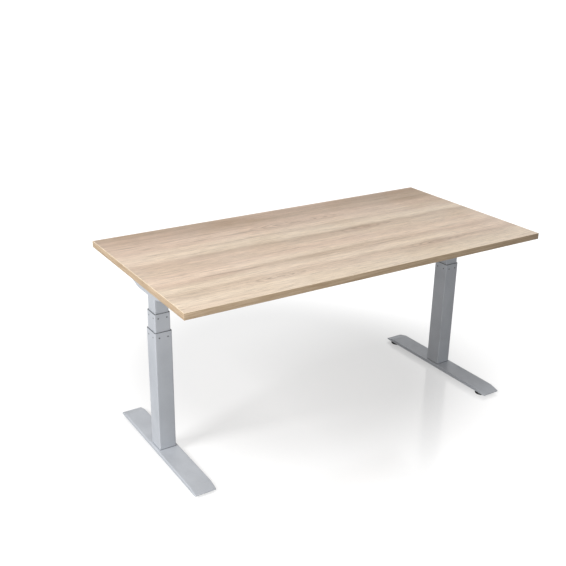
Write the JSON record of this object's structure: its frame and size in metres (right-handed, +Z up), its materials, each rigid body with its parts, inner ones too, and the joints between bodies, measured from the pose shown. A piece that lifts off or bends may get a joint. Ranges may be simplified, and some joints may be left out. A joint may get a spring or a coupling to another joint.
{
  "type": "height-adjustable desk",
  "caption": "Electric sit-stand desk: thin rectangular wood-decor top on two three-stage lifting columns, each on a low flat foot with levelling pads.",
  "frame": {"origin": "on the floor, under the middle of the desktop, levelling pads screwed in", "axes": "+Z up; +X along the desktop's length towards the right end; -Y towards the sitter"},
  "size_m": [1.6, 0.8, 0.758],
  "materials": {
    "board": "light sawn-oak decor on both faces, matte",
    "edge_strip": "brown-beige edging, fine grain print",
    "frame_paint": "silver-grey powder coat, fine texture",
    "zinc_steel": "bright zinc",
    "cast_housing": "die-cast, bead blasted",
    "bronze": "machined bronze",
    "black_plastic": "fine spark texture",
    "lead_sheath": "soft black sheath",
    "key_plastic": "satin",
    "pad_plastic": "black, levelling pads"
  },
  "bodies": {
    "base": {"outer_tube_left": "frame_paint", "outer_tube_right": "frame_paint", "outer_glides": "black_plastic", "nut_post_left": "zinc_steel", "nut_post_right": "zinc_steel", "lower_nuts": "bronze", "foot_left": "frame_paint", "foot_right": "frame_paint", "foot_bolts": "zinc_steel"},
    "top": {"desktop": "board", "edge_strips": "edge_strip", "side_arm_left": "frame_paint", "side_arm_right": "frame_paint", "rail_ends_left": "frame_paint", "rail_ends_right": "frame_paint", "rail_sleeves": "frame_paint", "rail_screws": "zinc_steel", "inner_tube_left": "frame_paint", "inner_tube_right": "frame_paint", "inner_glides": "black_plastic", "gear_housing_left": "cast_housing", "gear_housing_right": "cast_housing", "head_bearings": "zinc_steel", "head_bolts": "zinc_steel", "motor_left": "zinc_steel", "motor_right": "zinc_steel", "arm_screws": "zinc_steel", "rail_bolts": "zinc_steel", "control_box": "black_plastic", "mains_inlet": "black_plastic", "box_screws": "zinc_steel", "hand_switch": "black_plastic", "motor_lead_left": "lead_sheath", "motor_lead_right": "lead_sheath", "switch_lead": "lead_sheath", "lead_clips": "black_plastic"},
    "middle_left": {"middle_tube_left": "frame_paint", "middle_glides_left": "black_plastic", "nut_carrier_left": "zinc_steel", "upper_nut_left": "bronze", "spindle_bearing_left": "zinc_steel"},
    "solid_spindle_left": {"solid_spindle_left": "zinc_steel", "worm_wheel_left": "bronze"},
    "hollow_spindle_left": {"hollow_spindle_left": "zinc_steel"},
    "worm_left": {"worm_left": "zinc_steel"},
    "leveller_front_left": {"leveller_front_left": "pad_plastic"},
    "leveller_rear_left": {"leveller_rear_left": "pad_plastic"},
    "middle_right": {"middle_tube_right": "frame_paint", "middle_glides_right": "black_plastic", "nut_carrier_right": "zinc_steel", "upper_nut_right": "bronze", "spindle_bearing_right": "zinc_steel"},
    "solid_spindle_right": {"solid_spindle_right": "zinc_steel", "worm_wheel_right": "bronze"},
    "hollow_spindle_right": {"hollow_spindle_right": "zinc_steel"},
    "worm_right": {"worm_right": "zinc_steel"},
    "leveller_front_right": {"leveller_front_right": "pad_plastic"},
    "leveller_rear_right": {"leveller_rear_right": "pad_plastic"},
    "button_up": {"button_up": "key_plastic"},
    "button_down": {"button_down": "key_plastic"}
  },
  "joints": [
    {"name": "desk_lift", "type": "slide", "parent": "base", "child": "top", "axis": [0, 0, 1], "range_m": [-0.13, 0.52]},
    {"name": "middle_stage_left", "type": "slide", "parent": "base", "child": "middle_left", "axis": [0, 0, 1], "range_m": [-0.065, 0.26]},
    {"name": "solid_spindle_turn_left", "type": "hinge", "parent": "top", "child": "solid_spindle_left", "pos_m": [-0.705, 0.014, 0.5], "axis": [0, 0, 1], "continuous": true},
    {"name": "hollow_spindle_turn_left", "type": "hinge", "parent": "middle_left", "child": "hollow_spindle_left", "pos_m": [-0.705, 0.014, 0.4], "axis": [0, 0, 1], "continuous": true},
    {"name": "worm_turn_left", "type": "hinge", "parent": "top", "child": "worm_left", "pos_m": [-0.705, 0.037, 0.702], "axis": [1, 0, 0], "continuous": true},
    {"name": "middle_stage_right", "type": "slide", "parent": "base", "child": "middle_right", "axis": [0, 0, 1], "range_m": [-0.065, 0.26]},
    {"name": "solid_spindle_turn_right", "type": "hinge", "parent": "top", "child": "solid_spindle_right", "pos_m": [0.705, 0.014, 0.5], "axis": [0, 0, 1], "continuous": true},
    {"name": "hollow_spindle_turn_right", "type": "hinge", "parent": "middle_right", "child": "hollow_spindle_right", "pos_m": [0.705, 0.014, 0.4], "axis": [0, 0, 1], "continuous": true},
    {"name": "worm_turn_right", "type": "hinge", "parent": "top", "child": "worm_right", "pos_m": [0.705, 0.037, 0.702], "axis": [1, 0, 0], "continuous": true},
    {"name": "leveller_front_left_screw", "type": "slide", "parent": "base", "child": "leveller_front_left", "axis": [0, 0, -1], "range_m": [0, 0.008]},
    {"name": "leveller_rear_left_screw", "type": "slide", "parent": "base", "child": "leveller_rear_left", "axis": [0, 0, -1], "range_m": [0, 0.008]},
    {"name": "leveller_front_right_screw", "type": "slide", "parent": "base", "child": "leveller_front_right", "axis": [0, 0, -1], "range_m": [0, 0.008]},
    {"name": "leveller_rear_right_screw", "type": "slide", "parent": "base", "child": "leveller_rear_right", "axis": [0, 0, -1], "range_m": [0, 0.008]},
    {"name": "button_up_press", "type": "slide", "parent": "top", "child": "button_up", "axis": [0, 1, 0], "range_m": [0, 0.001], "stiffness_N_per_m": 1200, "springref_m": -0.0004},
    {"name": "button_down_press", "type": "slide", "parent": "top", "child": "button_down", "axis": [0, 1, 0], "range_m": [0, 0.001], "stiffness_N_per_m": 1200, "springref_m": -0.0004}
  ],
  "couplings": [
    {"joint": "middle_stage_left", "follows": "desk_lift", "ratio": 0.5},
    {"joint": "solid_spindle_turn_left", "follows": "desk_lift", "rad_per_m": 523.6},
    {"joint": "hollow_spindle_turn_left", "follows": "desk_lift", "rad_per_m": 523.6},
    {"joint": "worm_turn_left", "follows": "desk_lift", "rad_per_m": 10472},
    {"joint": "middle_stage_right", "follows": "desk_lift", "ratio": 0.5},
    {"joint": "solid_spindle_turn_right", "follows": "desk_lift", "rad_per_m": 523.6},
    {"joint": "hollow_spindle_turn_right", "follows": "desk_lift", "rad_per_m": 523.6},
    {"joint": "worm_turn_right", "follows": "desk_lift", "rad_per_m": 10472}
  ]
}
